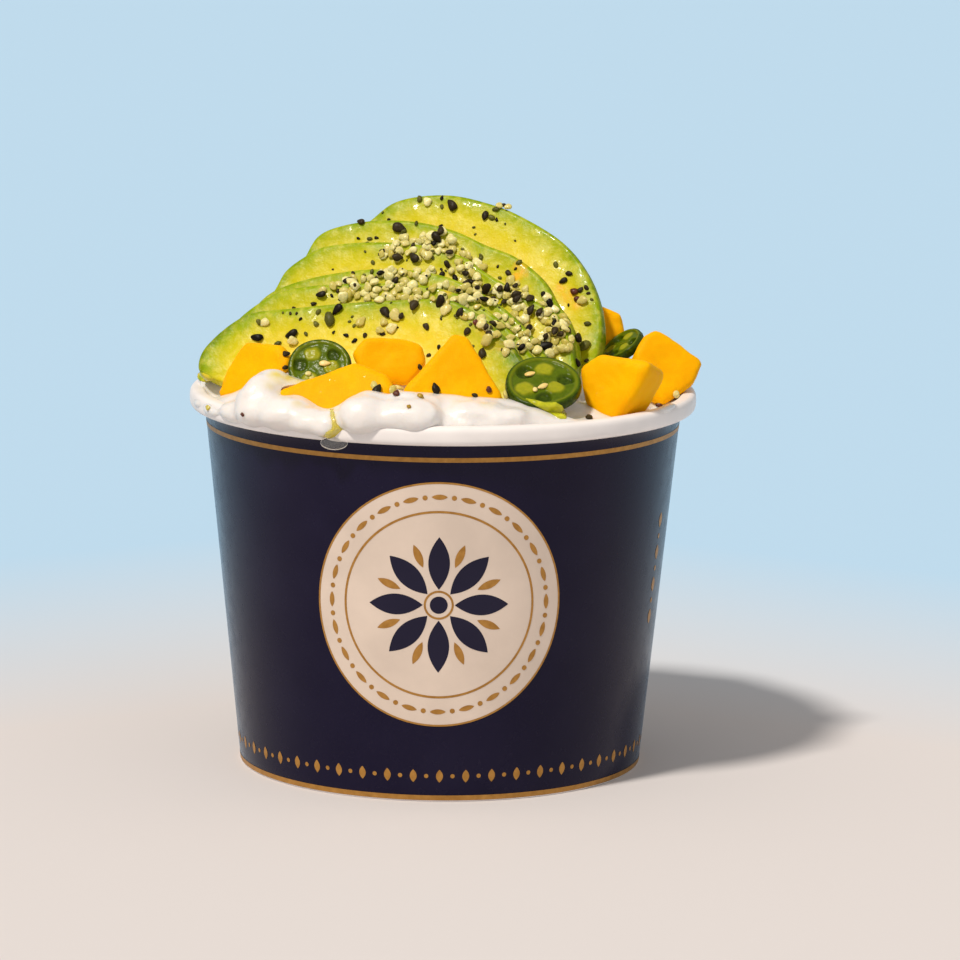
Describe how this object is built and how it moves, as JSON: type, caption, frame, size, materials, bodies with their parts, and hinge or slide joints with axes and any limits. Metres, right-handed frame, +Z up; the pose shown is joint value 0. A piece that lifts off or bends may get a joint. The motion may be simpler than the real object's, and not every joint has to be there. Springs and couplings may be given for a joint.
{
  "type": "frozen yogurt cup",
  "caption": "Rolled-rim paper cup heaped with white yogurt, a fan of avocado slices, mango chunks, green chili rings and seeds.",
  "frame": {"origin": "centre of the cup's foot, on the plane it stands on", "axes": "+Z up along the cup's axis; -Y is the cup's front, with the badge and the low end of the avocado fan"},
  "size_m": [0.1128, 0.1129, 0.1221],
  "materials": {
    "cup": "coated, satin",
    "yogurt": "moist",
    "avocado": "moist",
    "mango": "moist",
    "jalapeno": "glossy"
  },
  "bodies": {
    "root": {"cup": "cup", "yogurt": "yogurt", "avocado_1": "avocado", "avocado_2": "avocado", "avocado_3": "avocado", "avocado_4": "avocado", "avocado_5": "avocado", "avocado_6": "avocado", "mango_1": "mango", "mango_2": "mango", "mango_3": "mango", "mango_4": "mango", "mango_5": "mango", "mango_6": "mango", "mango_7": "mango", "mango_8": "mango", "mango_9": "mango", "mango_10": "mango", "mango_11": "mango", "jalapeno_1": "jalapeno", "jalapeno_2": "jalapeno", "jalapeno_3": "jalapeno", "jalapeno_4": "jalapeno", "jalapeno_5": "jalapeno"}
  },
  "joints": []
}
